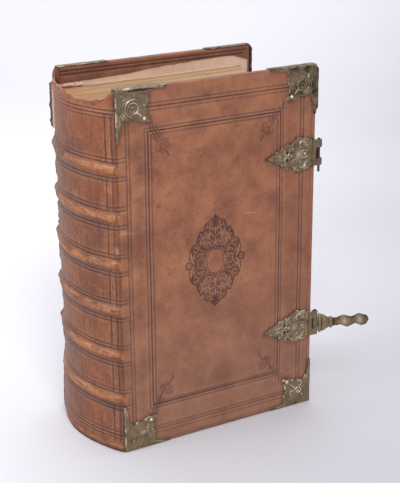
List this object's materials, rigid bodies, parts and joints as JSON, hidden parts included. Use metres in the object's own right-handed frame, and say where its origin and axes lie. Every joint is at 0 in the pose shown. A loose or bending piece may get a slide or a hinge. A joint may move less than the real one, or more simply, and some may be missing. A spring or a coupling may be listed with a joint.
{
  "type": "antique leather book",
  "caption": "Thick antique folio book in tooled brown leather over wooden boards, with raised spine bands, brass corners, clasp plates and a short hinged clasp arm.",
  "frame": {"origin": "on the surface it stands on, in the middle of the footprint of the whole part with its swung clasp arm", "axes": "+Z from the tail to the head, +X from the spine to the fore-edge, -Y the way the front cover faces"},
  "size_m": [0.2996, 0.1514, 0.36],
  "materials": {
    "leather": "satin",
    "oak": "matte",
    "endpaper": "matte",
    "leaves": "matte",
    "brass": "satin",
    "nail_brass": "satin",
    "iron": "satin",
    "cord": "matte",
    "linen": "matte",
    "silk": "matte"
  },
  "bodies": {
    "block": {"text_block": "leaves", "spine_leather": "leather", "spine_lining": "linen", "sewing_cord_1": "cord", "sewing_cord_2": "cord", "sewing_cord_3": "cord", "sewing_cord_4": "cord", "sewing_cord_5": "cord", "sewing_cord_6": "cord", "head_endband": "silk", "tail_endband": "silk"},
    "front_cover": {"front_board": "oak", "front_leather": "leather", "front_pastedown": "endpaper", "front_tail_spine_corner": "brass", "front_head_spine_corner": "brass", "front_tail_fore_corner": "brass", "front_head_fore_corner": "brass", "front_corner_nails": "nail_brass", "upper_clasp_plate": "brass", "upper_clasp_pin": "iron", "lower_clasp_plate": "brass", "lower_clasp_pin": "iron", "clasp_plate_nails": "nail_brass"},
    "back_cover": {"back_board": "oak", "back_leather": "leather", "back_pastedown": "endpaper", "back_tail_spine_corner": "brass", "back_head_spine_corner": "brass", "back_tail_fore_corner": "brass", "back_head_fore_corner": "brass", "back_corner_nails": "nail_brass", "upper_catch_plate": "brass", "lower_catch_plate": "brass", "catch_plate_nails": "nail_brass"},
    "clasp_arm": {"lower_clasp_arm": "brass"}
  },
  "joints": [
    {"name": "front_cover_hinge", "type": "hinge", "parent": "block", "child": "front_cover", "pos_m": [-0.12801, -0.05399, 0.18], "axis": [0, 0, -1], "range_deg": [0, 125]},
    {"name": "back_cover_hinge", "type": "hinge", "parent": "block", "child": "back_cover", "pos_m": [-0.12801, 0.07281, 0.18], "axis": [0, 0, 1], "range_deg": [0, 125]},
    {"name": "lower_clasp_hinge", "type": "hinge", "parent": "front_cover", "child": "clasp_arm", "pos_m": [0.09469, -0.05419, 0.09], "axis": [0, 0, 1], "range_deg": [-80, 110]}
  ]
}
